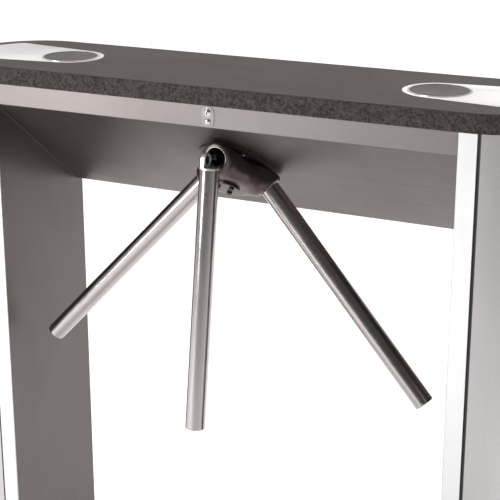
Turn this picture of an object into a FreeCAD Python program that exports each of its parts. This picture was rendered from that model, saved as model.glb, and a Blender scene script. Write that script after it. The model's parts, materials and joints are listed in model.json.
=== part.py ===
import FreeCAD, Part
import math
import os

# Tripod turnstile with a box cabinet. Millimetres.
# Origin: on the floor, midway between the two posts and midway front to back.
# +X along the cabinet, -Y towards the people passing, +Z up.

# Cabinet
HEIGHT = 1000.0          # floor to the top face of the stone plate
DEPTH = 260.0            # cabinet, front to back
PASSAGE = 808.0          # clear width between the two posts
PLATE_T = 30.0
PLATE_OVERHANG = 1.0
END_X = 415.0            # centre of the round cabinet ends
PLATE_EDGE_R = 3.0
FASCIA_H = 35.0
SLOPE_RUN = 240.0        # underside of the beam, front to back
SLOPE_DROP = 192.0
SHEET = 2.0
STRIP_W = 29.0           # flat part of each post
GROOVE_W = 5.0
GROOVE_DEPTH = 4.0
COVER_R = 129.5          # round part of each post
BASE_T = 12.0
TUBE_SIDE = 25.0
TUBE_WALL = 2.0
ANCHOR_X = 470.0
ANCHOR_Y = 80.0
ANCHOR_R = 7.0
GLAND_X = -450.0
GLAND_R = 16.0
LOCK_BELOW_PLATE = 10.0
DOME_BELOW_PLATE = 25.0
LOCK_R = 6.0
LOCK_HOLE_R = 7.2
DOME_HOLE_R = 4.0
ESCUTCHEON_HALF_W = 11.0
ESCUTCHEON_REACH = 6.0   # its middle to the centre of each round end
PANEL_SCREWS_X = (-370.0, -125.0, 125.0, 370.0)
PANEL_SCREW_R = 2.0
LIP = 18.0               # top lip of the beam cover
FLANGE = 20.0            # rear flange of the beam cover
BEND_R = 1.5
COVER_RETURN_Y = 112.0   # inner end of the narrow return on each post cover

# Inlays in the plate
READER_X = 335.0
READER_R = 46.5
RING_R = 50.0
INLAY_R = 58.0
INLAY_T = 3.0
INLAY_END_R = 106.0      # round end of an inlay, about the centre of the cabinet end
INLAY_END_HALF = 78.0

# Hub and arms
APEX_Y = -16.0           # point where the three arm centrelines meet
APEX_IN = 27.9           # its distance inside the sloping panel
MOUTH = 87.0             # apex to the mouth of a hub socket
BOSS_R = 24.0
BOSS_EDGE_R = 4.5
SOCKET_R = 17.0
SOCKET_FLOOR = 44.0
HUB_R = 54.0
HUB_BASE = 4.5
HUB_TOP = 47.0
HUB_BASE_R = 46.0
HUB_FLAT_R = 24.0        # flat top of the hub, under its cap
HUB_CROWN = ((52.0, 10.0), (HUB_R, 20.0), (52.0, 30.0), (46.0, 38.0), (37.0, 44.0))
STEM_IN = 14.0           # how far the hub's stem reaches inside the panel
CAP_R = 21.0
CAP_T = 4.0
HUB_BOLT_R = 2.5
HUB_BOLTS_R = 14.5       # hub axis to each bolt
STEM_R = 22.0
COLLAR_IN_R = 48.0
COLLAR_OUT_R = 63.0
COLLAR_T = 2.5
TUBE_R = 16.4
TUBE_BORE_R = 14.4
ARM_LENGTH = 444.0       # pivot to the tip
PIVOT_OUT = 108.0        # apex to the pivot of the arm that is drawn out
PIVOT_IN = 74.0          # apex to the pivot of an arm that is pushed home
DROP = 82.0              # degrees that the drawn-out arm hangs below level
RIGHT_TURN = -120.0      # turn about the hub axis from the top arm to the right-hand one
LEFT_TURN = 120.0
SIDE_TURNS = (RIGHT_TURN, LEFT_TURN)
EYE_R = 12.2
EYE_SIDE = (-10.5, -4.5)
EAR_SIDE = (-15.2, -10.8)
EAR_R = 6.3
PIN_R = 3.95
PIN_HEAD_R = 7.8
BAR_LENGTH = 29.5
BAR_OUTER = 5.5          # half-widths of the draw bar, away from the panel and towards it
BAR_INNER = 3.0
SHOULDER = 11.0          # pivot to the shoulder that the tube stands on
FIT = 0.05               # radial clearance of a running fit

# Mechanism, measured inwards from the sloping panel along the hub axis
PLATE_IN = 24.0
PLATE_OUT = 30.0
SHAFT_R = 10.0
SHAFT_COLLAR_R = 13.0
BEARING_R = 21.0
BEARING_W = 12.0
BEARINGS_AT = (30.0, 52.0)
PITCH_R = 15.6
BALL_R = 2.95
BALLS = 9
HOUSING_END = 66.0
GEAR_AT = (72.0, 80.0)
MODULE = 2.0
GEAR_TEETH = 36
PINION_TEETH = 12
MOTOR_R = 19.5
LOCK_DISC_AT = (84.0, 90.0)
LOCK_DISC_R = 50.0
NOTCHES = 12
ENCODER_AT = (93.0, 94.5)
ENCODER_R = 28.0
SHAFT_END = 103.0
PAWL_PIVOT = (66.0, 34.0)
PAWL_ELBOW = (34.0, 58.0)
PAWL_TIP = (25.0, 46.0)
SOLENOID_X = 86.0
PLUNGER_R = 4.0
PAWL_PIN_R = 4.0
CHEEK_X = 110.0
CHEEK_T = 6.0
EDGE_BOLTS = (-60.0, 0.0, 80.0)

HOUSING_BOLTS_R = 33.0   # shaft to each housing bolt
M5_R = 2.5

# Worked out from the above
PLUNGER_IN = (LOCK_DISC_AT[0] + LOCK_DISC_AT[1]) / 2
EDGE_IN = (PLATE_IN + PLATE_OUT) / 2
FRONT = -DEPTH / 2
BACK = DEPTH / 2
HALF = PASSAGE / 2
PLATE_BOTTOM = HEIGHT - PLATE_T
FASCIA_BOTTOM = PLATE_BOTTOM - FASCIA_H
SLOPE_BACK = FRONT + SLOPE_RUN
SLOPE_LOW = FASCIA_BOTTOM - SLOPE_DROP
SLOPE_ANGLE = math.degrees(math.atan2(SLOPE_DROP, SLOPE_RUN))
TILT = math.radians(90.0 - SLOPE_ANGLE)          # hub axis below level, and cone of the arms
STRIP_END = HALF + STRIP_W
COVER_START = STRIP_END + GROOVE_W
AXIS = FreeCAD.Vector(0, -math.cos(TILT), -math.sin(TILT))
SLOPE_AT_APEX = FASCIA_BOTTOM - (APEX_Y - FRONT) * SLOPE_DROP / SLOPE_RUN
APEX = FreeCAD.Vector(0, APEX_Y, SLOPE_AT_APEX + APEX_IN / math.sin(TILT))
HUB_ORIGIN = APEX + AXIS * APEX_IN
RAIL_TOP = PLATE_BOTTOM - SHEET - 0.5
RAIL_BOTTOM = RAIL_TOP - TUBE_SIDE
RAIL_Y = BACK - SHEET - 1.0
LOCK_Z = PLATE_BOTTOM - LOCK_BELOW_PLATE
DOME_Z = PLATE_BOTTOM - DOME_BELOW_PLATE

X_DIR = FreeCAD.Vector(1, 0, 0)
Y_DIR = FreeCAD.Vector(0, 1, 0)
Z_DIR = FreeCAD.Vector(0, 0, 1)
ZERO = FreeCAD.Vector(0, 0, 0)


# Shape helpers

def box(x0, x1, y0, y1, z0, z1):
    return Part.makeBox(x1 - x0, y1 - y0, z1 - z0, FreeCAD.Vector(x0, y0, z0))


def rod(radius, start, length, direction=Z_DIR):
    return Part.makeCylinder(radius, length, start, direction)


def disc(radius, z0, z1, x=0.0, y=0.0):
    return rod(radius, FreeCAD.Vector(x, y, z0), z1 - z0)


def washer(outer, inner, z0, z1, x=0.0, y=0.0):
    return disc(outer, z0, z1, x, y).cut(disc(inner, z0 - 1, z1 + 1, x, y))


def join(shapes):
    whole = shapes[0].multiFuse(shapes[1:]) if len(shapes) > 1 else shapes[0]
    return whole.removeSplitter()


def less(shape, tools):
    return shape.cut(tools) if tools else shape


def group(shapes):
    return Part.makeCompound(shapes)


def mirrored(shape):
    return shape.mirror(ZERO, X_DIR)


def both_sides(shape):
    return [shape, mirrored(shape)]


def outline(points):
    loop = [FreeCAD.Vector(*p) for p in points]
    return Part.Face(Part.makePolygon(loop + [loop[0]]))


def prism_x(points_yz, x0, x1):
    face = outline([(x0, y, z) for y, z in points_yz])
    return face.extrude(FreeCAD.Vector(x1 - x0, 0, 0))


def prism_z(points_xy, z0, z1):
    face = outline([(x, y, z0) for x, y in points_xy])
    return face.extrude(FreeCAD.Vector(0, 0, z1 - z0))


def stadium(radius, z0, z1):
    middle = box(-END_X, END_X, -radius, radius, z0, z1)
    ends = [disc(radius, z0, z1, x) for x in (-END_X, END_X)]
    return join([middle] + ends)


def round_edges(shape, radius, wanted):
    edges = [e for e in shape.Edges if wanted(e)]
    return shape.makeFillet(radius, edges) if edges else shape


def in_slope(shape):
    """From the slope frame (x across, y down the slope, z inwards) to the part's frame."""
    moved = shape.copy()
    moved.rotate(ZERO, X_DIR, -SLOPE_ANGLE)
    moved.translate(HUB_ORIGIN)
    return moved


def in_arm(shape, turn=0.0, drop=0.0, pivot=PIVOT_OUT):
    """From the arm frame (z along the arm from the apex, x across) to the part's frame."""
    moved = shape.copy()
    moved.rotate(ZERO, X_DIR, 90)
    moved.translate(APEX)
    if drop:
        moved.rotate(APEX - Y_DIR * pivot, X_DIR, drop)
    if turn:
        moved.rotate(APEX, AXIS, turn)
    return moved


# Plate and inlays

def inlay_outline(grow, z0, z1):
    """Tongue on the right-hand side: round inner head, straight flare, round outer end."""
    head_r = INLAY_R + grow
    half = INLAY_END_HALF + grow
    end_r = INLAY_END_R + grow
    end_x = END_X + math.sqrt(end_r ** 2 - half ** 2)
    lean = math.asin((half - head_r) / (end_x - READER_X))
    top = (READER_X - head_r * math.sin(lean), head_r * math.cos(lean))
    p_top = FreeCAD.Vector(top[0], top[1], z0)
    p_low = FreeCAD.Vector(top[0], -top[1], z0)
    e_top = FreeCAD.Vector(end_x, half, z0)
    e_low = FreeCAD.Vector(end_x, -half, z0)
    inner = Part.Arc(p_top, FreeCAD.Vector(READER_X - head_r, 0, z0), p_low)
    outer = Part.Arc(e_low, FreeCAD.Vector(END_X + end_r, 0, z0), e_top)
    edges = [
        inner.toShape(),
        Part.makeLine(p_low, e_low),
        outer.toShape(),
        Part.makeLine(e_top, p_top),
    ]
    return Part.Face(Part.Wire(edges)).extrude(FreeCAD.Vector(0, 0, z1 - z0))


def top_plate():
    plate = stadium(DEPTH / 2 + PLATE_OVERHANG, PLATE_BOTTOM, HEIGHT)
    plate = round_edges(plate, PLATE_EDGE_R, lambda e: abs(e.BoundBox.ZMin - HEIGHT) < 0.01)
    pocket = inlay_outline(0.3, HEIGHT - INLAY_T, HEIGHT + 1)
    well = disc(READER_R - 6, HEIGHT - 18, HEIGHT, READER_X)
    return less(plate, both_sides(pocket) + both_sides(well))


def inlay_right():
    return inlay_outline(0, HEIGHT - INLAY_T, HEIGHT).cut(disc(RING_R + 0.2, 900, 1100, READER_X))


def reader_rings():
    ring = washer(RING_R, READER_R + 0.2, HEIGHT - INLAY_T, HEIGHT + 0.6, READER_X)
    return group(both_sides(ring))


def reader_discs():
    return group(both_sides(disc(READER_R, HEIGHT - INLAY_T, HEIGHT - 0.4, READER_X)))


def reader_modules():
    module = disc(READER_R - 8, HEIGHT - 17.5, HEIGHT - 6, READER_X)
    return group(both_sides(module))


# Beam

def slope_z(y, inside=0.0):
    return FASCIA_BOTTOM - (y - FRONT) * SLOPE_DROP / SLOPE_RUN + inside / math.sin(TILT)


def beam_cover():
    """One folded sheet: top lip, upright fascia, sloping underside and rear flange."""
    t = SHEET
    corner = FRONT + t
    outer_to_inner = [
        (FRONT + LIP, PLATE_BOTTOM),
        (FRONT, PLATE_BOTTOM),
        (FRONT, FASCIA_BOTTOM),
        (SLOPE_BACK, SLOPE_LOW),
        (SLOPE_BACK, SLOPE_LOW + FLANGE),
        (SLOPE_BACK - t, SLOPE_LOW + FLANGE),
        (SLOPE_BACK - t, slope_z(SLOPE_BACK - t, t)),
        (corner, slope_z(corner, t)),
        (corner, PLATE_BOTTOM - t),
        (FRONT + LIP, PLATE_BOTTOM - t),
    ]
    cover = prism_x(outer_to_inner, -HALF, HALF)
    bend = [
        e for e in cover.Edges
        if abs(e.BoundBox.YMin - FRONT) < 0.01 and abs(e.BoundBox.YMax - FRONT) < 0.01
        and abs(e.BoundBox.ZMax - FASCIA_BOTTOM) < 0.01 and e.Length > 100
    ]
    cover = cover.makeFillet(BEND_R, bend)
    shaft_hole = in_slope(disc(COLLAR_IN_R - 1, -5, 5))
    return less(cover, [shaft_hole] + fascia_holes())


def fascia_holes():
    """Holes for the key lock and the indicator."""
    lock = rod(LOCK_HOLE_R, FreeCAD.Vector(0, FRONT - 5, LOCK_Z), 10, Y_DIR)
    dome = rod(DOME_HOLE_R, FreeCAD.Vector(0, FRONT - 5, DOME_Z), 10, Y_DIR)
    return [lock, dome]


def panel_screw_places():
    return [(x, RAIL_BOTTOM + TUBE_SIDE / 2) for x in PANEL_SCREWS_X]


def rear_panel():
    upright = box(-HALF, HALF, BACK - SHEET, BACK, SLOPE_LOW, PLATE_BOTTOM)
    lip = box(-HALF, HALF, SLOPE_BACK, BACK - SHEET, SLOPE_LOW, SLOPE_LOW + SHEET)
    hole_r = PANEL_SCREW_R + 0.2
    holes = [rod(hole_r, FreeCAD.Vector(x, BACK - 5, z), 10, Y_DIR) for x, z in panel_screw_places()]
    return less(join([upright, lip]), holes)


def rear_panel_screws():
    screws = []
    for x, z in panel_screw_places():
        head = rod(5.0, FreeCAD.Vector(x, BACK, z), 0.9, Y_DIR)
        shank = rod(PANEL_SCREW_R, FreeCAD.Vector(x, BACK - 7, z), 7, Y_DIR)
        screws.append(join([head, shank]))
    return group(screws)


def square_tube_x(x0, x1, y0, z0):
    side, wall = TUBE_SIDE, TUBE_WALL
    outer = box(x0, x1, y0, y0 + side, z0, z0 + side)
    return outer.cut(box(x0 - 1, x1 + 1, y0 + wall, y0 + side - wall, z0 + wall, z0 + side - wall))


def rail_places():
    return (-RAIL_Y, RAIL_Y - TUBE_SIDE)


def top_rails():
    front_y, back_y = rail_places()
    reach = STRIP_END - 3
    lock = rod(9.3, FreeCAD.Vector(0, FRONT - 5, LOCK_Z), 60, Y_DIR)
    front = square_tube_x(-reach, reach, front_y, RAIL_BOTTOM).cut(lock)
    back = square_tube_x(-reach, reach, back_y, RAIL_BOTTOM)
    thread_r = PANEL_SCREW_R
    holes = [rod(thread_r, FreeCAD.Vector(x, BACK - 9, z), 10, Y_DIR) for x, z in panel_screw_places()]
    return group([front, less(back, holes)])


# Posts

def post_frame():
    """Right-hand post: inner face and the two flat returns, with room for the rails."""
    z0, z1 = BASE_T, PLATE_BOTTOM
    face = box(HALF, HALF + SHEET, FRONT, BACK, z0, z1)
    front = box(HALF, STRIP_END, FRONT, FRONT + SHEET, z0, z1)
    back = box(HALF, STRIP_END, BACK - SHEET, BACK, z0, z1)
    notches = [
        box(HALF - 5, HALF + 5, y - 0.5, y + TUBE_SIDE + 0.5, RAIL_BOTTOM - 0.5, z1 + 1)
        for y in rail_places()
    ]
    frame = join([face, front, back])
    corners = [
        e for e in frame.Edges
        if e.Length > 500 and abs(e.BoundBox.XMin - HALF) < 0.01
        and abs(abs(e.BoundBox.YMin) - BACK) < 0.01
    ]
    return less(frame.makeFillet(BEND_R, corners), notches)


def post_cover():
    """Right-hand post: the round outer shell with a narrow return along each groove."""
    z0, z1 = BASE_T, PLATE_BOTTOM
    shell = washer(COVER_R, COVER_R - SHEET, z0, z1, END_X)
    keep = box(COVER_START, END_X + COVER_R + 5, -200, 200, z0, z1)
    shell = shell.common(keep)
    edge_y = math.sqrt((COVER_R - SHEET) ** 2 - (COVER_START - END_X) ** 2)
    returns = []
    for side in (-1, 1):
        low, high = sorted((side * COVER_RETURN_Y, side * edge_y))
        returns.append(box(COVER_START, COVER_START + SHEET, low, high, z0, z1))
    return join([shell] + returns)


def groove_strips():
    y1 = BACK - GROOVE_DEPTH
    strip = box(STRIP_END, COVER_START, y1 - 5, y1, BASE_T, PLATE_BOTTOM)
    back = both_sides(strip)
    return group(back + [s.mirror(ZERO, Y_DIR) for s in back])


def post_columns():
    columns = []
    for y0 in rail_places():
        side, wall = TUBE_SIDE, TUBE_WALL
        x0 = HALF + SHEET + 0.5
        outer = box(x0, x0 + side, y0, y0 + side, BASE_T, RAIL_BOTTOM)
        bore = box(x0 + wall, x0 + side - wall, y0 + wall, y0 + side - wall, 0, HEIGHT)
        columns += both_sides(outer.cut(bore))
    return group(columns)


def base_plate():
    """Right-hand floor plate with its two anchor holes."""
    flat = box(HALF, END_X + 30, FRONT, BACK, 0, BASE_T)
    rounded = disc(COVER_R, 0, BASE_T, END_X)
    keep = box(HALF, END_X + COVER_R + 5, FRONT, BACK, 0, BASE_T)
    start = box(HALF, COVER_START, FRONT, BACK, 0, BASE_T)
    body = join([start, join([rounded, flat.common(rounded)]).common(keep)])
    holes = [disc(ANCHOR_R, -1, BASE_T + 1, ANCHOR_X, y) for y in (-ANCHOR_Y, ANCHOR_Y)]
    return less(body, holes)


def base_plate_left():
    return mirrored(base_plate()).cut(disc(GLAND_R, -1, BASE_T + 1, GLAND_X))


def cable_gland():
    collar = washer(GLAND_R + 5, 10.0, BASE_T, BASE_T + 6, GLAND_X)
    sleeve = washer(GLAND_R, 10.0, 0.5, BASE_T, GLAND_X)
    return join([collar, sleeve])


# Key lock and indicator on the fascia

def lock_escutcheon():
    """Oval plate around the key lock and the indicator."""
    half_w = ESCUTCHEON_HALF_W
    middle_z = (LOCK_Z + DOME_Z) / 2
    low, high = middle_z - ESCUTCHEON_REACH, middle_z + ESCUTCHEON_REACH
    ends = [rod(half_w, FreeCAD.Vector(0, FRONT - 1.0, z), 1.0, Y_DIR) for z in (high, low)]
    middle = box(-half_w, half_w, FRONT - 1.0, FRONT, low, high)
    return less(join(ends + [middle]), fascia_holes())


def lock_body():
    barrel = rod(7.6, FreeCAD.Vector(0, FRONT + SHEET, LOCK_Z), 26, Y_DIR)
    nose = rod(7.1, FreeCAD.Vector(0, FRONT - 1.5, LOCK_Z), 4, Y_DIR)
    bore = rod(LOCK_R + FIT, FreeCAD.Vector(0, FRONT - 5, LOCK_Z), 60, Y_DIR)
    return join([barrel, nose]).cut(bore)


def lock_plug():
    start = FreeCAD.Vector(0, FRONT - 1.8, LOCK_Z)
    plug = rod(LOCK_R, start, 31.3, Y_DIR)
    dome = Part.makeSphere(9.0, FreeCAD.Vector(0, start.y + 6.6, LOCK_Z))
    dome = dome.common(rod(LOCK_R, FreeCAD.Vector(0, start.y - 4, LOCK_Z), 4.5, Y_DIR))
    keyway = box(-0.9, 0.9, start.y - 5, start.y + 4, LOCK_Z - 3.6, LOCK_Z + 3.6)
    cam = box(-5, 5, start.y + 30.3, start.y + 33.3, LOCK_Z - 18, LOCK_Z + 5)
    return join([plug, dome, cam]).cut(keyway)


def indicator_dome():
    stem = rod(3.9, FreeCAD.Vector(0, FRONT - 1.2, DOME_Z), 3.2, Y_DIR)
    rim = rod(5.2, FreeCAD.Vector(0, FRONT - 2.0, DOME_Z), 1.0, Y_DIR)
    ball = Part.makeSphere(6.4, FreeCAD.Vector(0, FRONT + 1.8, DOME_Z))
    dome = ball.common(rod(5.2, FreeCAD.Vector(0, FRONT - 6, DOME_Z), 4.0, Y_DIR))
    return join([stem, rim, dome])


# Hub

def arm_direction(turn):
    """Unit vector of an arm in the slope frame."""
    c, s = math.cos(TILT), math.sin(TILT)
    a = math.radians(turn)
    return FreeCAD.Vector(s * math.sin(a), -s * math.cos(a), -c)


def hub_core():
    """Turned middle of the casting: stem inside the panel, flat base, domed crown."""
    crown = ((HUB_BASE_R, HUB_BASE),) + HUB_CROWN + ((HUB_FLAT_R, HUB_TOP),)
    curve = Part.BSplineCurve()
    curve.interpolate([FreeCAD.Vector(r, 0, -h) for r, h in crown])
    corners = [
        FreeCAD.Vector(HUB_FLAT_R, 0, -HUB_TOP),
        FreeCAD.Vector(0, 0, -HUB_TOP),
        FreeCAD.Vector(0, 0, STEM_IN),
        FreeCAD.Vector(STEM_R, 0, STEM_IN),
        FreeCAD.Vector(STEM_R, 0, -HUB_BASE),
        FreeCAD.Vector(HUB_BASE_R, 0, -HUB_BASE),
    ]
    edges = [curve.toShape()]
    for start, end in zip(corners, corners[1:]):
        edges.append(Part.makeLine(start, end))
    return Part.Face(Part.Wire(edges)).revolve(ZERO, Z_DIR, 360)


def hub_body():
    """Casting with three round-mouthed bosses and their sockets."""
    apex = FreeCAD.Vector(0, 0, APEX_IN)
    core = hub_core()
    base_cut = box(-150, 150, -150, 150, -HUB_BASE, 80)
    bosses = []
    sockets = []
    for turn in (0,) + SIDE_TURNS:
        along = arm_direction(turn)
        boss = rod(BOSS_R, apex + along * SOCKET_FLOOR, MOUTH - SOCKET_FLOOR, along)
        mouth = apex + along * MOUTH
        boss = round_edges(
            boss, BOSS_EDGE_R, lambda e: e.Closed and e.CenterOfMass.distanceToPoint(mouth) < 1
        )
        bosses.append(boss.cut(base_cut))
        sockets.append(rod(SOCKET_R, apex + along * SOCKET_FLOOR, 60, along))
    thread_r = HUB_BOLT_R + 0.1
    bolts = [disc(thread_r, -HUB_TOP - 1, -HUB_TOP + 14, x, y) for x, y in hub_bolt_places()]
    bore = disc(SHAFT_R, -HUB_TOP + 2, 40)
    return in_slope(less(join([core] + bosses), sockets + bolts + [bore]))


def hub_bolt_places():
    places = []
    for k in range(3):
        a = math.radians(60 + 120 * k)
        places.append((HUB_BOLTS_R * math.sin(a), -HUB_BOLTS_R * math.cos(a)))
    return places


def hub_cap():
    face = -HUB_TOP - CAP_T
    cap = disc(CAP_R, face, -HUB_TOP)
    cap = round_edges(cap, 1.5, lambda e: abs(e.BoundBox.ZMax - face) < 0.01)
    holes = [disc(HUB_BOLT_R + 0.3, face - 5, -HUB_TOP + 1, x, y) for x, y in hub_bolt_places()]
    return in_slope(less(cap, holes))


def hub_bolts():
    bolts = []
    for x, y in hub_bolt_places():
        face = -HUB_TOP - CAP_T
        head = disc(4.2, face - 3.5, face, x, y)
        socket = disc(2.2, face - 4, face - 1.5, x, y)
        shank = disc(HUB_BOLT_R, face, -HUB_TOP + 12, x, y)
        bolts.append(in_slope(join([head, shank]).cut(socket)))
    return group(bolts)


def hub_collar():
    return in_slope(washer(COLLAR_OUT_R, COLLAR_IN_R, -COLLAR_T, 0))


# Arms, each built along +z of its own frame

def cross_rod(radius, x0, x1, z):
    return rod(radius, FreeCAD.Vector(x0, 0, z), x1 - x0, X_DIR)


def arm_fitting(pivot):
    """Machined end: eye on the pivot pin, neck, shoulder and the spigot inside the tube."""
    x0, x1 = EYE_SIDE
    eye = cross_rod(EYE_R, x0, x1, pivot)
    neck = box(x0, x1, -EYE_R, EYE_R, pivot, pivot + SHOULDER)
    shoulder = disc(TUBE_R, pivot + SHOULDER, pivot + SHOULDER + 3)
    spigot = disc(TUBE_BORE_R, pivot + SHOULDER + 3, pivot + SHOULDER + 28)
    bore = cross_rod(PIN_R + FIT, x0 - 1, x1 + 1, pivot)
    recess = cross_rod(PIN_HEAD_R + 0.2, x1 - 4, x1 + 1, pivot)
    return join([eye, neck, shoulder, spigot]).cut([bore, recess])


def arm_tube(pivot):
    return washer(TUBE_R, TUBE_BORE_R, pivot + SHOULDER + 3, pivot + ARM_LENGTH - 3)


def arm_cap(pivot):
    tip = pivot + ARM_LENGTH
    plug = disc(TUBE_BORE_R, tip - 18, tip - 3)
    face = disc(TUBE_R, tip - 3, tip)
    face = round_edges(face, 2.2, lambda e: abs(e.BoundBox.ZMin - tip) < 0.01)
    return join([plug, face])


def draw_bar(pivot):
    """Flat bar that lets the arm be drawn out of its socket, with the ear for the pin."""
    x0, x1 = EAR_SIDE
    bar = box(x0, x1, -BAR_OUTER, BAR_INNER, pivot - BAR_LENGTH, pivot)
    ear = cross_rod(EAR_R, x0, x1, pivot)
    hook = box(x0, -1, -BAR_OUTER, BAR_INNER, pivot - BAR_LENGTH, pivot - BAR_LENGTH + 4)
    return join([bar, ear, hook]).cut(cross_rod(PIN_R, x0 - 1, x1 + 1, pivot))


def pivot_pin(pivot):
    shank = cross_rod(PIN_R, EAR_SIDE[0], EYE_SIDE[1] - 3.9, pivot)
    head = cross_rod(PIN_HEAD_R, EYE_SIDE[1] - 3.9, EYE_SIDE[1] - 1, pivot)
    slot = box(EYE_SIDE[1] - 2.5, EYE_SIDE[1], -6, 6, pivot - 1, pivot + 1)
    return join([shank, head]).cut(slot)


def side_arm(make, turn):
    return in_arm(make(PIVOT_IN), turn)


def for_every_arm(make):
    out = in_arm(make(PIVOT_OUT))
    return group([out] + [side_arm(make, turn) for turn in SIDE_TURNS])


# Shaft and bearings

def main_shaft():
    front = disc(SHAFT_R, -HUB_TOP + 2, STEM_IN)
    collar = disc(SHAFT_COLLAR_R, STEM_IN, PLATE_OUT)
    back = disc(SHAFT_R, PLATE_OUT, SHAFT_END)
    return in_slope(join([front, collar, back]))


def bearing_groove(z0):
    return Part.makeTorus(PITCH_R, BALL_R + 0.1, FreeCAD.Vector(0, 0, z0 + BEARING_W / 2))


def bearing_outer_rings():
    rings = [washer(BEARING_R, 17.6, z, z + BEARING_W).cut(bearing_groove(z)) for z in BEARINGS_AT]
    return in_slope(group(rings))


def bearing_inner_rings():
    rings = [washer(13.6, SHAFT_R, z, z + BEARING_W).cut(bearing_groove(z)) for z in BEARINGS_AT]
    return in_slope(group(rings))


def bearing_balls():
    balls = []
    for z in BEARINGS_AT:
        for k in range(BALLS):
            a = 2 * math.pi * k / BALLS
            centre = FreeCAD.Vector(PITCH_R * math.cos(a), PITCH_R * math.sin(a), z + BEARING_W / 2)
            balls.append(Part.makeSphere(BALL_R, centre))
    return in_slope(group(balls))


def bearing_housing():
    flange = disc(38.0, PLATE_OUT, PLATE_OUT + 6)
    barrel = disc(27.0, PLATE_OUT + 6, HOUSING_END)
    seats = [disc(BEARING_R, z, z + BEARING_W) for z in BEARINGS_AT]
    back = disc(BEARING_R, BEARINGS_AT[1] + BEARING_W, HOUSING_END + 1)
    through = disc(18.0, PLATE_OUT - 1, HOUSING_END + 1)
    holes = [disc(M5_R, 0, 90, x, y) for x, y in housing_bolt_places()]
    motor_room = disc(MOTOR_R + 0.5, PLATE_OUT - 1, PLATE_OUT + 7, gear_distance())
    return in_slope(less(join([flange, barrel]), seats + [back, through, motor_room] + holes))


def housing_bolt_places():
    return [
        (HOUSING_BOLTS_R * math.cos(math.radians(a)), HOUSING_BOLTS_R * math.sin(math.radians(a)))
        for a in (45, 135, 225, 315)
    ]


# Gears and discs on the shaft

def toothed_disc(teeth, z0, z1):
    """Straight-sided teeth with backlash, the first one centred on +x."""
    pitch_r = MODULE * teeth / 2
    root = pitch_r - 1.2 * MODULE
    tip = pitch_r + 0.85 * MODULE
    half_root = 1.05 * MODULE
    half_tip = 0.34 * MODULE
    tooth = prism_z(
        [(root - 1, -half_root), (tip, -half_tip), (tip, half_tip), (root - 1, half_root)], z0, z1
    )
    shapes = [disc(root, z0, z1)]
    for k in range(teeth):
        copy = tooth.copy()
        copy.rotate(ZERO, Z_DIR, 360.0 * k / teeth)
        shapes.append(copy)
    return join(shapes)


def shaft_gear():
    z0, z1 = GEAR_AT
    boss = disc(14.0, BEARINGS_AT[1] + BEARING_W, z0)
    lightening = [
        disc(5.0, z0 - 1, z1 + 1, 23 * math.cos(a), 23 * math.sin(a))
        for a in [math.radians(60 * k) for k in range(6)]
    ]
    wheel = join([toothed_disc(GEAR_TEETH, z0, z1), boss])
    return in_slope(less(wheel, lightening + [disc(SHAFT_R, 0, 120)]))


def gear_distance():
    return MODULE * (GEAR_TEETH + PINION_TEETH) / 2


def motor_pinion():
    z0, z1 = GEAR_AT
    wheel = toothed_disc(PINION_TEETH, z0, z1)
    wheel.rotate(ZERO, Z_DIR, 180.0 / PINION_TEETH)
    spindle = disc(4.0, z0 - 12, z1 + 1.5)
    pinion = join([wheel, spindle])
    pinion.translate(FreeCAD.Vector(gear_distance(), 0, 0))
    return in_slope(pinion)


def gearmotor():
    x = gear_distance()
    body = disc(MOTOR_R, PLATE_OUT, 62, x)
    nose = disc(9.0, 62, 68, x)
    bore = disc(4.0 + FIT, 58, 70, x)
    connector = box(x + 12, x + 24, -6, 6, 34, 42)
    return in_slope(join([body, nose, connector]).cut(bore))


def locking_disc():
    z0, z1 = LOCK_DISC_AT
    boss = disc(14.0, GEAR_AT[1], z0)
    plate = disc(LOCK_DISC_R, z0, z1)
    notches = []
    for k in range(NOTCHES):
        notch = box(LOCK_DISC_R - 6.5, LOCK_DISC_R + 5, -4.2, 4.2, z0 - 1, z1 + 1)
        notch.rotate(ZERO, Z_DIR, 360.0 * k / NOTCHES)
        notches.append(notch)
    return in_slope(less(join([plate, boss]), notches + [disc(SHAFT_R, 0, 120)]))


def encoder_disc():
    z0, z1 = ENCODER_AT
    boss = disc(12.0, LOCK_DISC_AT[1], z0)
    plate = disc(ENCODER_R, z0, z1)
    slots = []
    for k in range(24):
        slot = box(ENCODER_R - 6, ENCODER_R - 2, -1.2, 1.2, z0 - 1, z1 + 1)
        slot.rotate(ZERO, Z_DIR, 15.0 * k)
        slots.append(slot)
    return in_slope(less(join([plate, boss]), slots + [disc(SHAFT_R, 0, 120)]))


def shaft_nut():
    z0 = ENCODER_AT[1]
    corners = [
        (16 * math.cos(math.radians(60 * k)), 16 * math.sin(math.radians(60 * k)))
        for k in range(6)
    ]
    return in_slope(prism_z(corners, z0, z0 + 7).cut(disc(SHAFT_R, 0, 120)))


def encoder_sensor():
    post = box(-64, -55, -6, 6, PLATE_OUT, 99)
    upper = box(-64, -21, -6, 6, 95.6, 99)
    lower = box(-64, -21, -6, 6, 90.5, 92.2)
    return in_slope(join([post, upper, lower]))


# Pawls and solenoids

def pawl_right():
    """Elbowed pawl: boss on its pin, arm, tooth over the locking disc, and a tail."""
    z0, z1 = LOCK_DISC_AT
    px, py = PAWL_PIVOT
    ex, ey = PAWL_ELBOW
    tx, ty = PAWL_TIP
    boss = disc(7.5, z0, z1, px, py)
    arm = strap((px, py), (ex, ey), 4.5, z0, z1)
    elbow = disc(4.5, z0, z1, ex, ey)
    tooth = strap((ex, ey), (tx, ty), 3.0, z0, z1)
    tail = strap((px, py), (SOLENOID_X + 5, 31.0), 3.0, z0, z1)
    bore = disc(PAWL_PIN_R + FIT, z0 - 1, z1 + 1, px, py)
    return in_slope(join([boss, arm, elbow, tooth, tail]).cut(bore))


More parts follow.
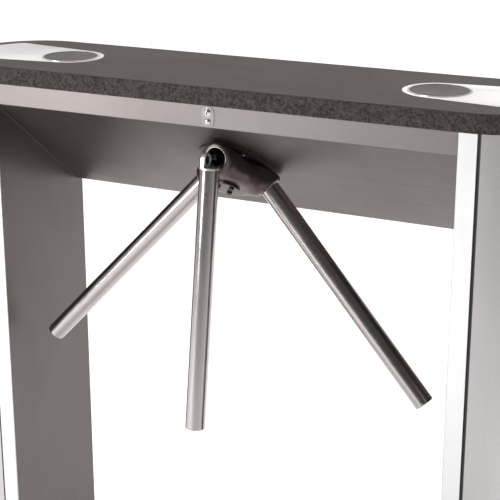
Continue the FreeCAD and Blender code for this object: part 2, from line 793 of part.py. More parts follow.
def strap(start, end, half_width, z0, z1):
    dx, dy = end[0] - start[0], end[1] - start[1]
    length = math.hypot(dx, dy)
    nx, ny = -dy / length * half_width, dx / length * half_width
    return prism_z(
        [
            (start[0] + nx, start[1] + ny),
            (end[0] + nx, end[1] + ny),
            (end[0] - nx, end[1] - ny),
            (start[0] - nx, start[1] - ny),
        ],
        z0,
        z1,
    )


def pawl_pins():
    px, py = PAWL_PIVOT
    z0, z1 = LOCK_DISC_AT
    post = disc(7.0, PLATE_OUT, z0 - 0.3, px, py)
    pin = disc(PAWL_PIN_R, z0 - 0.3, z1 + 3, px, py)
    head = disc(6.5, z1 + 0.3, z1 + 3, px, py)
    return in_slope(group(both_sides(join([post, pin, head]))))


def solenoids():
    x = SOLENOID_X
    foot = box(x - 8, x + 8, -28, 4, PLATE_OUT, 78)
    body = box(x - 11, x + 11, -30, 8, 78, 96)
    bore = rod(PLUNGER_R + FIT, FreeCAD.Vector(x, -14, PLUNGER_IN), 40, Y_DIR)
    return in_slope(group(both_sides(join([foot, body]).cut(bore))))


def plunger_right():
    x = SOLENOID_X
    stem = rod(PLUNGER_R, FreeCAD.Vector(x, -12, PLUNGER_IN), 35, Y_DIR)
    tip = Part.makeSphere(5.0, FreeCAD.Vector(x, 23.2, PLUNGER_IN))
    tip = tip.common(rod(PLUNGER_R, FreeCAD.Vector(x, 22, PLUNGER_IN), 10, Y_DIR))
    collar = rod(6.0, FreeCAD.Vector(x, 16, PLUNGER_IN), 2, Y_DIR)
    return in_slope(join([stem, tip, collar]))


# Mechanism frame

def cheek():
    """Right-hand side plate that hangs the mechanism from the two rails."""
    top = RAIL_BOTTOM
    front_low = in_slope(Part.Vertex(0, -92, 14)).Point
    back_low = in_slope(Part.Vertex(0, 112, 14)).Point
    points = [
        (front_low.y - 20, top),
        (front_low.y, front_low.z),
        (back_low.y, back_low.z),
        (back_low.y + 30, back_low.z + 18),
        (RAIL_Y - 3, top - 40),
        (RAIL_Y - 3, top),
    ]
    plate = prism_x(points, CHEEK_X, CHEEK_X + CHEEK_T)
    window = prism_x([(20, 905), (95, 905), (70, 860), (45, 860)], CHEEK_X - 1, CHEEK_X + 10)
    starts = [FreeCAD.Vector(CHEEK_X - 5, y, EDGE_IN) for y in EDGE_BOLTS]
    holes = [in_slope(rod(3.2, start, 20, X_DIR)) for start in starts]
    return less(plate, [window] + holes)


def mechanism_plate():
    plate = box(-CHEEK_X, CHEEK_X, -85, 105, PLATE_IN, PLATE_OUT)
    holes = [disc(M5_R, 0, 90, x, y) for x, y in housing_bolt_places()]
    for y in EDGE_BOLTS:
        holes.append(rod(M5_R, FreeCAD.Vector(-CHEEK_X - 1, y, EDGE_IN), 13, X_DIR))
        holes.append(rod(M5_R, FreeCAD.Vector(CHEEK_X - 12, y, EDGE_IN), 13, X_DIR))
    return in_slope(less(plate, holes + [disc(18.0, 0, 90)]))


def mechanism_bolts():
    bolts = []
    for x, y in housing_bolt_places():
        head = disc(4.6, PLATE_OUT + 6, PLATE_OUT + 10, x, y)
        shank = disc(M5_R, PLATE_IN, PLATE_OUT + 6, x, y)
        bolts.append(join([head, shank]))
    for y in EDGE_BOLTS:
        outside = CHEEK_X + CHEEK_T
        head = rod(5.0, FreeCAD.Vector(outside, y, EDGE_IN), 4, X_DIR)
        shank = rod(M5_R, FreeCAD.Vector(CHEEK_X - 11, y, EDGE_IN), CHEEK_T + 11, X_DIR)
        bolts += both_sides(join([head, shank]))
    return in_slope(group(bolts))


# Electronics behind the rear panel

def control_board():
    y = BACK - SHEET
    board = box(160, 340, y - 9.6, y - 8, 795, 905)
    feet = [rod(3, FreeCAD.Vector(x, y - 8, z), 8, Y_DIR) for x in (168, 332) for z in (803, 897)]
    chips = [
        box(180, 210, y - 13, y - 9.6, 830, 860),
        box(230, 250, y - 18, y - 9.6, 815, 835),
        box(165, 335, y - 20, y - 9.6, 872, 886),
        box(280, 300, y - 24, y - 9.6, 815, 850),
    ]
    return join([board] + feet + chips)


def counter_module():
    y = BACK - SHEET
    case = box(-205, -135, y - 34, y, 800, 850)
    window = box(-195, -145, y - 35, y - 32, 818, 838)
    return case.cut(window)


def power_supply():
    y = BACK - SHEET
    case = box(-345, -225, y - 38, y, 795, 860)
    slots = [box(-335 + 12 * k, -331 + 12 * k, y - 40, y - 36, 805, 850) for k in range(9)]
    return less(case, slots)


NODES = {
    "top_plate": top_plate,
    "inlay_right": inlay_right,
    "inlay_left": lambda: mirrored(inlay_right()),
    "reader_rings": reader_rings,
    "reader_discs": reader_discs,
    "reader_modules": reader_modules,
    "beam_cover": beam_cover,
    "rear_panel": rear_panel,
    "rear_panel_screws": rear_panel_screws,
    "top_rails": top_rails,
    "post_frame_right": post_frame,
    "post_frame_left": lambda: mirrored(post_frame()),
    "post_cover_right": post_cover,
    "post_cover_left": lambda: mirrored(post_cover()),
    "groove_strips": groove_strips,
    "post_columns": post_columns,
    "base_plate_right": base_plate,
    "base_plate_left": base_plate_left,
    "cable_gland": cable_gland,
    "lock_escutcheon": lock_escutcheon,
    "lock_body": lock_body,
    "lock_plug": lock_plug,
    "indicator_dome": indicator_dome,
    "hub_body": hub_body,
    "hub_cap": hub_cap,
    "hub_bolts": hub_bolts,
    "hub_collar": hub_collar,
    "main_shaft": main_shaft,
    "bearing_outer_rings": bearing_outer_rings,
    "bearing_inner_rings": bearing_inner_rings,
    "bearing_balls": bearing_balls,
    "bearing_housing": bearing_housing,
    "shaft_gear": shaft_gear,
    "motor_pinion": motor_pinion,
    "gearmotor": gearmotor,
    "locking_disc": locking_disc,
    "encoder_disc": encoder_disc,
    "shaft_nut": shaft_nut,
    "encoder_sensor": encoder_sensor,
    "pawl_right": pawl_right,
    "pawl_left": lambda: mirrored(pawl_right()),
    "pawl_pins": pawl_pins,
    "solenoids": solenoids,
    "plunger_right": plunger_right,
    "plunger_left": lambda: mirrored(plunger_right()),
    "mechanism_cheek_right": cheek,
    "mechanism_cheek_left": lambda: mirrored(cheek()),
    "mechanism_plate": mechanism_plate,
    "mechanism_bolts": mechanism_bolts,
    "control_board": control_board,
    "counter_module": counter_module,
    "power_supply": power_supply,
    "top_arm_fitting": lambda: in_arm(arm_fitting(PIVOT_OUT), drop=DROP),
    "top_arm_tube": lambda: in_arm(arm_tube(PIVOT_OUT), drop=DROP),
    "top_arm_cap": lambda: in_arm(arm_cap(PIVOT_OUT), drop=DROP),
    "right_arm_tube": lambda: side_arm(arm_tube, RIGHT_TURN),
    "left_arm_tube": lambda: side_arm(arm_tube, LEFT_TURN),
    "side_arm_fittings": lambda: group([side_arm(arm_fitting, t) for t in SIDE_TURNS]),
    "side_arm_caps": lambda: group([side_arm(arm_cap, t) for t in SIDE_TURNS]),
    "draw_bars_and_pins": lambda: group([for_every_arm(draw_bar), for_every_arm(pivot_pin)]),
}


def main():
    os.makedirs("parts", exist_ok=True)
    for name, make in NODES.items():
        shape = make()
        print(name, len(shape.Solids), round(shape.Volume / 1000, 2), shape.isValid())
        shape.exportStep("parts/" + name + ".step")


main()
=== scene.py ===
import json
import math

import bmesh
import bpy
import numpy as np
from mathutils import Matrix, Vector

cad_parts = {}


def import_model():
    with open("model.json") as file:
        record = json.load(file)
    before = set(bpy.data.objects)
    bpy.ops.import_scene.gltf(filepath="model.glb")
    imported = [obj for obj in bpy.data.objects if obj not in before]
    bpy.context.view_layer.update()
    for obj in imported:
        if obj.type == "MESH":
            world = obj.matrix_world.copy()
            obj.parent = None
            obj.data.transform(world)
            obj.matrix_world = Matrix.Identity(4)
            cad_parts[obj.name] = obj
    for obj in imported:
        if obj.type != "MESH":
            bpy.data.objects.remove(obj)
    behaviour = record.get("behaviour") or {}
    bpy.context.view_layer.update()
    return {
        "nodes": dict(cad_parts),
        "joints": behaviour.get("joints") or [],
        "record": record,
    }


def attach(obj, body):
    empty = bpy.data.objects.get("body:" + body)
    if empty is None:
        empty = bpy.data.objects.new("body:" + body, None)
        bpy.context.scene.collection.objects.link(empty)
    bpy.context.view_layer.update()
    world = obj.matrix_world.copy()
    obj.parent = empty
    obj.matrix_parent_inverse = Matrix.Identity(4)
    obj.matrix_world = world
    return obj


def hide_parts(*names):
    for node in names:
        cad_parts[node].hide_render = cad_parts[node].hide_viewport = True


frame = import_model()
NODES = frame["nodes"]
RECORD = frame["record"]
JOINTS = {j["name"]: j for j in frame["joints"]}
SLOT_OF = {s["node"]: s["material_slot"] for s in RECORD["subparts"]}


# Shader helpers

ALONG_X, ALONG_Z = (0.012, 1, 1), (1, 1, 0.012)   # noise stretch of a grain that runs along the axis
DULL_SPECULAR = 0.04                              # specular level of the stone and the reader windows


class Shader:
    """A principled material and the nodes that feed it."""

    def __init__(self, name, colour, roughness, metallic=0.0):
        self.material = bpy.data.materials.new(name)
        self.material.use_nodes = True
        self.tree = self.material.node_tree
        self.bsdf = self.tree.nodes["Principled BSDF"]
        self.bsdf.inputs["Base Color"].default_value = (*colour, 1)
        self.bsdf.inputs["Roughness"].default_value = roughness
        self.bsdf.inputs["Metallic"].default_value = metallic
        self.coords = self.add("ShaderNodeTexCoord").outputs["Object"]

    def add(self, kind, **settings):
        node = self.tree.nodes.new(kind)
        for key, value in settings.items():
            setattr(node, key, value)
        return node

    def link(self, source, target):
        self.tree.links.new(source, target)

    def stretched(self, scale):
        node = self.add("ShaderNodeMapping")
        node.inputs["Scale"].default_value = scale
        self.link(self.coords, node.inputs["Vector"])
        return node.outputs["Vector"]

    def noise(self, scale, detail=3.0, rough=0.5, stretch=(1, 1, 1)):
        node = self.add("ShaderNodeTexNoise")
        node.inputs["Scale"].default_value = scale
        node.inputs["Detail"].default_value = detail
        node.inputs["Roughness"].default_value = rough
        self.link(self.stretched(stretch), node.inputs["Vector"])
        return node.outputs["Fac"]

    def cells(self, scale):
        node = self.add("ShaderNodeTexVoronoi")
        node.inputs["Scale"].default_value = scale
        self.link(self.coords, node.inputs["Vector"])
        return node.outputs["Distance"]

    def spread(self, value, low, high, to_low, to_high):
        node = self.add("ShaderNodeMapRange")
        self.link(value, node.inputs["Value"])
        numbers = {"From Min": low, "From Max": high, "To Min": to_low, "To Max": to_high}
        for key, number in numbers.items():
            node.inputs[key].default_value = number
        return node.outputs["Result"]

    def math(self, operation, a, b):
        node = self.add("ShaderNodeMath", operation=operation)
        for socket, value in zip(node.inputs, (a, b)):
            if isinstance(value, (int, float)):
                socket.default_value = value
            else:
                self.link(value, socket)
        return node.outputs["Value"]

    def blend(self, factor, a, b):
        node = self.add("ShaderNodeMix", data_type="RGBA")
        self.link(factor, node.inputs["Factor"])
        for name, value in (("A", a), ("B", b)):
            socket = [s for s in node.inputs if s.name == name and s.type == "RGBA"][0]
            if isinstance(value, tuple):
                socket.default_value = (*value, 1)
            else:
                self.link(value, socket)
        return [s for s in node.outputs if s.type == "RGBA"][0]

    def facing(self, axis, low, high):
        """1 where the surface faces along the axis, either way."""
        split = self.add("ShaderNodeSeparateXYZ")
        self.link(self.add("ShaderNodeNewGeometry").outputs["Normal"], split.inputs[0])
        return self.spread(self.math("ABSOLUTE", split.outputs[axis], 0.0), low, high, 0.0, 1.0)

    def height(self, low, high):
        """0 below the low height, 1 above the high one."""
        split = self.add("ShaderNodeSeparateXYZ")
        self.link(self.coords, split.inputs[0])
        return self.spread(split.outputs["Z"], low, high, 0.0, 1.0)

    def colour(self, value):
        self.link(value, self.bsdf.inputs["Base Color"])

    def roughness(self, value):
        self.link(value, self.bsdf.inputs["Roughness"])

    def bump(self, value, strength, distance):
        node = self.add("ShaderNodeBump")
        node.inputs["Strength"].default_value = strength
        node.inputs["Distance"].default_value = distance
        self.link(value, node.inputs["Height"])
        self.link(node.outputs["Normal"], self.bsdf.inputs["Normal"])

    def set(self, **values):
        for key, value in values.items():
            self.bsdf.inputs[key.replace("_", " ")].default_value = value


def tint(colour, factor):
    return tuple(min(1.0, c * factor) for c in colour)


def brushed(name, colour, roughness, stretch, contrast=0.10, depth=0.12):
    """Sheet metal with its grain drawn along the axis whose stretch is small."""
    s = Shader(name, colour, roughness, 1.0)
    fine = s.noise(900, 2, 0.6, stretch)
    broad = s.noise(160, 3, 0.6, stretch)
    smudge = s.noise(5.0, 4, 0.55)
    grain = s.math("ADD", s.math("MULTIPLY", fine, 0.55), s.math("MULTIPLY", broad, 0.45))
    dark, light = tint(colour, 1 - contrast), tint(colour, 1 + contrast)
    s.colour(s.blend(s.spread(grain, 0.3, 0.7, 0, 1), dark, light))
    wear = s.math(
        "ADD", s.spread(grain, 0.3, 0.7, -0.05, 0.06), s.spread(smudge, 0.35, 0.7, -0.04, 0.07))
    s.roughness(s.math("ADD", wear, roughness))
    s.bump(grain, depth, 0.0004)
    return s


def polished(name, colour, roughness):
    s = Shader(name, colour, roughness, 1.0)
    haze = s.noise(14, 4, 0.6)
    hairs = s.noise(420, 2, 0.6, (1, 1, 0.06))
    mix = s.math(
        "ADD", s.spread(haze, 0.35, 0.7, -0.03, 0.05), s.spread(hairs, 0.35, 0.7, -0.02, 0.04))
    s.roughness(s.math("ADD", mix, roughness))
    s.colour(s.blend(s.spread(haze, 0.3, 0.7, 0, 1), tint(colour, 0.95), tint(colour, 1.03)))
    s.bump(hairs, 0.05, 0.0002)
    return s


def painted(name, colour, roughness, bump=0.25, scale=900):
    """Cast or sprayed surface with an orange-peel grain and rubbed patches."""
    s = Shader(name, colour, roughness)
    peel = s.noise(scale, 2, 0.5)
    rub = s.noise(18, 5, 0.6)
    s.colour(s.blend(s.spread(rub, 0.35, 0.7, 0, 1), tint(colour, 0.85), tint(colour, 1.3)))
    s.roughness(s.math("ADD", s.spread(rub, 0.3, 0.7, -0.05, 0.08), roughness))
    s.bump(peel, bump, 0.0004)
    return s


def moulded(name, colour, roughness):
    return painted(name, colour, roughness, 0.3, 1600)


def cast_stone(name):
    """Satin top, and a darker, coarser, speckled edge band."""
    s = Shader(name, (0.1, 0.09, 0.085), 0.42)
    edge = s.math("SUBTRACT", 1.0, s.facing("Z", 0.55, 0.95))
    fine = s.noise(700, 3, 0.7)
    clump = s.noise(210, 4, 0.65)
    cloud = s.noise(9, 4, 0.6)
    top_grain = s.math("ADD", s.math("MULTIPLY", fine, 0.5), s.math("MULTIPLY", cloud, 0.5))
    top = s.blend(
        s.spread(top_grain, 0.35, 0.65, 0, 1), (0.050, 0.041, 0.040), (0.082, 0.069, 0.067))
    speck = s.math("ADD", s.math("MULTIPLY", fine, 0.45), s.math("MULTIPLY", clump, 0.55))
    side = s.blend(s.spread(speck, 0.38, 0.64, 0, 1), (0.028, 0.021, 0.021), (0.125, 0.105, 0.102))
    s.colour(s.blend(edge, top, side))
    rough = s.math("ADD", s.spread(cloud, 0.3, 0.7, 0.50, 0.60), s.math("MULTIPLY", edge, 0.16))
    s.roughness(rough)
    s.bump(speck, 0.3, 0.0006)
    return s


def post_sheet(name):
    """Vertical grain; the flat strips facing front and back get a painted highlight, near white, and the
    faces along the passage a painted shade, lighter towards the bottom.
    """
    s = brushed(name, (0.66, 0.635, 0.625), 0.36, ALONG_Z, 0.035, 0.10)
    lit = s.bsdf.inputs["Base Color"].links[0].from_socket
    # painted shade on the faces along the passage: lighter low down, darker towards the top
    low = s.height(0.45, 0.97)
    shade = s.blend(low, (0.155, 0.132, 0.128), (0.125, 0.104, 0.101))
    # painted highlight: the flat strips facing front and back are near white
    flat = s.blend(s.facing("Y", 0.992, 0.999), lit, (0.98, 0.97, 0.965))
    s.colour(s.blend(s.facing("X", 0.93, 0.99), flat, shade))
    return s


def beam_sheet(name):
    """Grain along the beam; the sloping panel, which faces down, gets a painted shade, darker than the
    fascia.
    """
    s = brushed(name, (0.265, 0.240, 0.232), 0.42, ALONG_X, 0.04)
    lit = s.bsdf.inputs["Base Color"].links[0].from_socket
    # painted shade on the sloping panel, with its own grain
    long_grain = s.noise(120, 3, 0.6, ALONG_X)
    shade = s.blend(
        s.spread(long_grain, 0.3, 0.7, 0, 1), (0.146, 0.119, 0.115), (0.155, 0.127, 0.123))
    s.colour(s.blend(s.facing("Z", 0.45, 0.70), lit, shade))
    return s


def lacquered_board(name):
    s = Shader(name, (0.02, 0.12, 0.06), 0.32)
    tracks = s.cells(160)
    s.colour(s.blend(s.spread(tracks, 0.1, 0.4, 0, 1), (0.03, 0.20, 0.10), (0.012, 0.085, 0.045)))
    s.bump(tracks, 0.2, 0.0003)
    return s


SHADERS = {
    "stone": cast_stone("stone"),
    "brushed_panel": beam_sheet("brushed_panel"),
    "post_steel": post_sheet("post_steel"),
    "inlay_steel": brushed("inlay_steel", (0.60, 0.585, 0.575), 0.36, ALONG_X, 0.06),
    "polished_tube": polished("polished_tube", (0.52, 0.475, 0.465), 0.19),
    "bright_trim": polished("bright_trim", (0.88, 0.88, 0.87), 0.16),
    "satin_steel": polished("satin_steel", (0.93, 0.92, 0.91), 0.40),
    "shaded_steel": brushed("shaded_steel", (0.30, 0.27, 0.26), 0.34, ALONG_X, 0.05),
    "dark_casting": painted("dark_casting", (0.12, 0.092, 0.088), 0.33, 0.16, 700),
    "reader_window": painted("reader_window", (0.105, 0.09, 0.087), 0.60, 0.05),
    "groove_rubber": moulded("groove_rubber", (0.11, 0.092, 0.09), 0.65),
    "frame_steel": painted("frame_steel", (0.30, 0.31, 0.32), 0.45, 0.15),
    "machined_steel": brushed("machined_steel", (0.55, 0.55, 0.56), 0.3, ALONG_Z, 0.06),
    "cast_aluminium": painted("cast_aluminium", (0.55, 0.56, 0.57), 0.5, 0.4, 500),
    "black_plastic": moulded("black_plastic", (0.02, 0.02, 0.022), 0.5),
    "circuit_board": lacquered_board("circuit_board"),
    "blackened_steel": painted("blackened_steel", (0.03, 0.03, 0.033), 0.4, 0.12),
}
SHADERS["dark_casting"].set(Metallic=0.85)
SHADERS["stone"].set(Specular_IOR_Level=DULL_SPECULAR)
SHADERS["reader_window"].set(Specular_IOR_Level=DULL_SPECULAR)
SHADERS["cast_aluminium"].set(Metallic=1.0)
SHADERS["frame_steel"].set(Metallic=0.6)
SHADERS["blackened_steel"].set(Metallic=0.8)

for node, obj in NODES.items():
    for place in obj.material_slots:
        place.material = SHADERS[SLOT_OF[node]].material


# Mesh helpers

def new_object(name, mesh, slot, body, smooth=True):
    obj = bpy.data.objects.new(name, mesh)
    bpy.context.scene.collection.objects.link(obj)
    obj.data.materials.clear()
    obj.data.materials.append(SHADERS[slot].material)
    for face in obj.data.polygons:
        face.use_smooth = smooth
    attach(obj, body)
    return obj


def lathe(name, profile, origin, axis, slot, body, steps=96):
    """Turns (radius, distance along the axis) pairs round the axis."""
    bm = bmesh.new()
    to_axis = Matrix.Translation(origin) @ Vector(axis).to_track_quat("Z", "Y").to_matrix().to_4x4()
    rings = []
    for r, z in profile:
        ring = []
        for k in range(steps):
            a = 2 * math.pi * k / steps
            ring.append(bm.verts.new(to_axis @ Vector((r * math.cos(a), r * math.sin(a), z))))
        rings.append(ring)
    for a, b in zip(rings, rings[1:] + rings[:1]):
        for k in range(steps):
            n = (k + 1) % steps
            bm.faces.new((a[k], a[n], b[n], b[k]))
    bmesh.ops.recalc_face_normals(bm, faces=bm.faces)
    mesh = bpy.data.meshes.new(name)
    bm.to_mesh(mesh)
    bm.free()
    return new_object(name, mesh, slot, body)


# Hub casting: core and bosses run into each other with wide fillets

HUB = JOINTS["hub_spin"]
HUB_AXIS = np.array(HUB["axis"])
HUB_AXIS = HUB_AXIS / np.linalg.norm(HUB_AXIS)
HUB_ORIGIN = np.array(HUB["pos_m"])
PIVOT = np.array(JOINTS["top_arm_raise"]["pos_m"])
APEX_IN = 0.0279          # where the three arm lines meet, behind the hub's origin
APEX = HUB_ORIGIN - HUB_AXIS * APEX_IN
CORE_R, CORE_BASE, CORE_TOP, CORE_EDGE = 0.0535, 0.0046, 0.0465, 0.0200
BOSS_R, BOSS_START, BOSS_EDGE = 0.0240, 0.030, 0.0055
FILLET = 0.020            # how widely a boss runs into the core
SOCKET_R, MOUTH, SOCKET_FLOOR = 0.0170, 0.0870, 0.0440
SOCKET_PAST = 0.2         # the socket's cutter ends well outside the hub
CELL = 0.0016             # grid of the casting's mesh
CELL_MARGIN = 0.004
CORE_REACH = 0.075        # the mesh's grid goes this far from the hub's origin


def arm_direction(turn):
    first = np.array((0.0, -1.0, 0.0))
    a = math.radians(turn)
    along = HUB_AXIS * (first @ HUB_AXIS)
    return along + (first - along) * math.cos(a) + np.cross(HUB_AXIS, first) * math.sin(a)


ARM_DIRECTIONS = [arm_direction(t) for t in (0, 120, -120)]


def smooth_min(a, b, k):
    """Smaller of two distances, blended over a width k."""
    h = np.clip(0.5 + 0.5 * (b - a) / k, 0, 1)
    return b + (a - b) * h - k * h * (1 - h)


def round_puck(p, radius, low, high, edge):
    """Distance from a disc on the hub's axis, with rounded rims."""
    out = (p - HUB_ORIGIN) @ HUB_AXIS
    flat = p - HUB_ORIGIN - out[:, None] * HUB_AXIS
    dr = np.linalg.norm(flat, axis=1) - (radius - edge)
    dz = np.abs(out - (low + high) / 2) - ((high - low) / 2 - edge)
    outside = np.hypot(np.maximum(dr, 0), np.maximum(dz, 0))
    return outside + np.minimum(np.maximum(dr, dz), 0) - edge


def along_arm(p, direction, radius, start, end, edge=0.0):
    """Distance from a cylinder on an arm's centreline, with rounded rims."""
    s = (p - APEX) @ direction
    off = np.linalg.norm(p - APEX - s[:, None] * direction, axis=1)
    dr = off - (radius - edge)
    ds = np.maximum(start + edge - s, s - (end - edge))
    outside = np.hypot(np.maximum(dr, 0), np.maximum(ds, 0))
    return outside + np.minimum(np.maximum(dr, ds), 0) - edge


def casting_distance(p):
    d = round_puck(p, CORE_R, CORE_BASE, CORE_TOP, CORE_EDGE)
    for direction in ARM_DIRECTIONS:
        boss = along_arm(p, direction, BOSS_R, BOSS_START, MOUTH, BOSS_EDGE)
        d = smooth_min(d, boss, FILLET)
    base = CORE_BASE - (p - HUB_ORIGIN) @ HUB_AXIS
    d = np.maximum(d, base)
    for direction in ARM_DIRECTIONS:
        d = np.maximum(d, -along_arm(p, direction, SOCKET_R, SOCKET_FLOOR, SOCKET_PAST))
    return d


def surface_net(distance, low, high, cell):
    """Closed mesh of the zero level: one vertex in each cell that the surface crosses."""
    axes = [np.arange(a, b + cell, cell) for a, b in zip(low, high)]
    shape = [len(a) for a in axes]
    grid = np.stack(np.meshgrid(*axes, indexing="ij"), -1)
    value = distance(grid.reshape(-1, 3)).reshape(shape)
    inside = value < 0
    corners = [(i, j, k) for i in (0, 1) for j in (0, 1) for k in (0, 1)]
    cells = [n - 1 for n in shape]

    def part(array, offset):
        return array[tuple(slice(o, o + n) for o, n in zip(offset, cells))]

    count = sum(part(inside, c).astype(int) for c in corners)
    used = (count > 0) & (count < 8)
    total = np.zeros((*cells, 3))
    hits = np.zeros(cells)
    for axis in range(3):
        step = [0, 0, 0]
        step[axis] = 1
        for c in corners:
            if c[axis]:
                continue
            other = tuple(a + b for a, b in zip(c, step))
            v0, v1 = part(value, c), part(value, other)
            cross = (v0 < 0) != (v1 < 0)
            t = np.where(cross, v0 / np.where(cross, v0 - v1, 1), 0)
            point = np.stack([np.full(cells, float(n)) for n in c], -1)
            point[..., axis] += t
            total += np.where(cross[..., None], point, 0)
            hits += cross
    index = -np.ones(cells, int)
    index[used] = np.arange(used.sum())
    base = np.stack(np.nonzero(used), -1)
    verts = (base + total[used] / hits[used][:, None]) * cell + np.array(low)
    faces = []
    for axis in range(3):
        u, v = [a for a in range(3) if a != axis]
        first = [slice(1, n - 1) for n in shape]
        second = list(first)
        first[axis], second[axis] = slice(0, shape[axis] - 1), slice(1, shape[axis])
        a, b = inside[tuple(first)], inside[tuple(second)]
        for place in np.argwhere(a != b):
            at = list(place)
            at[u] += 1
            at[v] += 1
            ring = []
            for du, dv in ((-1, -1), (0, -1), (0, 0), (-1, 0)):
                q = list(at)
                q[u] += du
                q[v] += dv
                ring.append(int(index[tuple(q)]))
            solid_first = bool(a[tuple(place)])
            if solid_first != (axis != 1):
                ring.reverse()
            faces.append(ring)
    return verts, faces


def settle(points, distance):
    """Moves points onto the zero level along the gradient."""
    h, most, tiny = 1e-5, 0.0008, 1e-6
    for _ in range(4):
        d = distance(points)
        slopes = []
        for axis in range(3):
            shift = np.zeros(3)
            shift[axis] = h
            slopes.append((distance(points + shift) - distance(points - shift)) / (2 * h))
        g = np.stack(slopes, -1)
        g /= np.maximum(np.linalg.norm(g, axis=1)[:, None], tiny)
        points = points - g * np.clip(d, -most, most)[:, None]
    return points


def hub_casting():
    reach = [APEX + d * MOUTH for d in ARM_DIRECTIONS]
    bosses = [p + s for p in reach for s in (-BOSS_R, BOSS_R)]
    every = np.array(bosses + [HUB_ORIGIN - CORE_REACH, HUB_ORIGIN + CORE_REACH])
    low, high = every.min(0) - CELL_MARGIN, every.max(0) + CELL_MARGIN
    verts, faces = surface_net(casting_distance, low, high, CELL)
    verts = settle(verts, casting_distance)
    mesh = bpy.data.meshes.new("hub_casting")
    mesh.from_pydata([tuple(v) for v in verts], [], faces)
    mesh.validate()
    bm = bmesh.new()
    bm.from_mesh(mesh)
    bmesh.ops.recalc_face_normals(bm, faces=bm.faces)
    bm.to_mesh(mesh)
    bm.free()
    obj = new_object("hub_casting", mesh, "dark_casting", "hub")
    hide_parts("hub_body")


hub_casting()


# Trim

def socket_sleeves():
    """Short satin bush in each socket, with a rounded lip at the mouth."""
    inner, outer, deep = SOCKET_R - 0.00045, SOCKET_R + 0.0013, -0.010
    ring = [
        (inner, deep), (inner, -0.0008), (inner + 0.0003, 0.0001), (inner + 0.0010, 0.0005),
        (outer - 0.0003, 0.0003), (outer, -0.0004), (outer, -0.0020), (SOCKET_R, -0.0026), (SOCKET_R, deep),
    ]
    for index, direction in enumerate(ARM_DIRECTIONS):
        mouth = Vector(APEX + direction * MOUTH)
        lathe("socket_sleeve_%d" % index, ring, mouth, direction, "satin_steel", "hub")


def eye_ring():
    """Raised rolled rim round the recess in the knuckle's eye."""
    radius, wire, face_x, corners = 0.0102, 0.0018, -0.0045, 16
    ring = [
        (radius + wire * math.cos(a), wire * math.sin(a))
        for a in [2 * math.pi * k / corners for k in range(corners)]
    ]
    face = Vector((face_x, PIVOT[1], PIVOT[2]))
    lathe("eye_rim", ring, face, (1, 0, 0), "satin_steel", "top_arm", 64)


POST_FACE_X = 0.404                       # inner face of a post
SLOPE_NORMAL = (0, -0.6247, -0.7809)      # out of the sloping panel: forward and down
SLOPE_ENDS = (-0.1265, 0.9322), (0.1085, 0.7442)   # y and z of its upper and lower end


def corner_shadow_strip(side):
    """Dark strip standing in for the shade in the gap where the sloping panel meets the inner face of a
    post: painted shade.
    """
    x, width, sunk = side * POST_FACE_X, 0.0022, 0.0002
    into = Vector((-side, 0, 0))
    out = Vector(SLOPE_NORMAL)
    bm = bmesh.new()
    ends = []
    for y, z in SLOPE_ENDS:
        corner = Vector((x, y, z)) - into * sunk - out * sunk
        ends.append([bm.verts.new(corner + shift) for shift in (Vector(), into * width, out * width)])
    a, b = ends
    bm.faces.new(a)
    bm.faces.new(b)
    for k in range(3):
        n = (k + 1) % 3
        bm.faces.new((a[k], a[n], b[n], b[k]))
    bmesh.ops.recalc_face_normals(bm, faces=bm.faces)
    name = "corner_bead_right" if side > 0 else "corner_bead_left"
    mesh = bpy.data.meshes.new(name)
    bm.to_mesh(mesh)
    bm.free()
    new_object(name, mesh, "blackened_steel", "cabinet", smooth=False)


socket_sleeves()
eye_ring()
# painted shade strips along the corner gaps on both sides
corner_shadow_strip(1)
corner_shadow_strip(-1)


# Floor, light and camera

FLOOR_HALF = 30
FLOOR_Z = -0.0005          # just below the base plates, so that no two faces coincide


def floor():
    bm = bmesh.new()
    bmesh.ops.create_grid(bm, x_segments=8, y_segments=8, size=FLOOR_HALF)
    mesh = bpy.data.meshes.new("floor")
    bm.to_mesh(mesh)
    bm.free()
    obj = bpy.data.objects.new("floor", mesh)
    bpy.context.scene.collection.objects.link(obj)
    s = Shader("floor_paint", (0.93, 0.93, 0.93), 0.9)
    cloud = s.noise(1.4, 3, 0.5)
    s.colour(s.blend(s.spread(cloud, 0.3, 0.7, 0, 1), (0.92, 0.92, 0.92), (0.94, 0.94, 0.94)))
    obj.data.materials.append(s.material)
    obj.location.z = FLOOR_Z


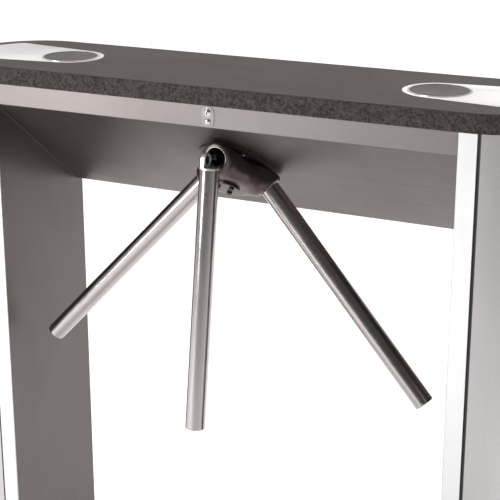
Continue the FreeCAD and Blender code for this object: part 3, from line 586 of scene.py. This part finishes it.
def area_light(name, place, target, size, power):
    data = bpy.data.lights.new(name, "AREA")
    data.shape = "RECTANGLE"
    data.size, data.size_y = size
    data.energy = power
    obj = bpy.data.objects.new(name, data)
    bpy.context.scene.collection.objects.link(obj)
    obj.location = place
    aim = Vector(target) - Vector(place)
    obj.rotation_euler = aim.to_track_quat("-Z", "Y").to_euler()


def world():
    """White room, brighter behind and to the left."""
    w = bpy.data.worlds.new("studio")
    bpy.context.scene.world = w
    w.use_nodes = True
    tree = w.node_tree
    sky = tree.nodes["Background"]
    sky.inputs["Color"].default_value = (0.98, 0.98, 1.0, 1)
    toward = tree.nodes.new("ShaderNodeVectorMath")
    toward.operation = "DOT_PRODUCT"
    toward.inputs[1].default_value = (-0.8, 0.6, 0)
    tree.links.new(tree.nodes.new("ShaderNodeTexCoord").outputs["Generated"], toward.inputs[0])
    fall = tree.nodes.new("ShaderNodeMapRange")
    numbers = {"From Min": -0.8, "From Max": 0.9, "To Min": 0.08, "To Max": 0.55}
    for key, number in numbers.items():
        fall.inputs[key].default_value = number
    tree.links.new(toward.outputs["Value"], fall.inputs["Value"])
    tree.links.new(fall.outputs["Result"], sky.inputs["Strength"])


floor()
world()
# Name, place, target, size in metres, power in watts
area_light("key", (-1.9, -2.8, 1.7), (0.1, 0, 0.8), (1.0, 2.4), 78)
area_light("top", (0.4, 1.2, 3.0), (0.2, 0.6, 0), (2.6, 1.6), 44)
area_light("back", (-1.8, 6.0, 8.0), (-1.5, 4.4, 0), (9.0, 6.0), 780)

camera = bpy.data.objects.new("camera", bpy.data.cameras.new("camera"))
bpy.context.scene.collection.objects.link(camera)
camera.location = (0.9091, -1.8996, 1.4176)
TILT_DOWN, TURN_LEFT = 16.61, 25.28
camera.rotation_euler = (math.radians(90 - TILT_DOWN), 0, math.radians(TURN_LEFT))
camera.data.sensor_width = 36
camera.data.lens = 93.6
camera.data.shift_y = -0.11
camera.data.clip_start = 0.05
bpy.context.scene.camera = camera
bpy.context.scene.view_settings.view_transform = "Standard"
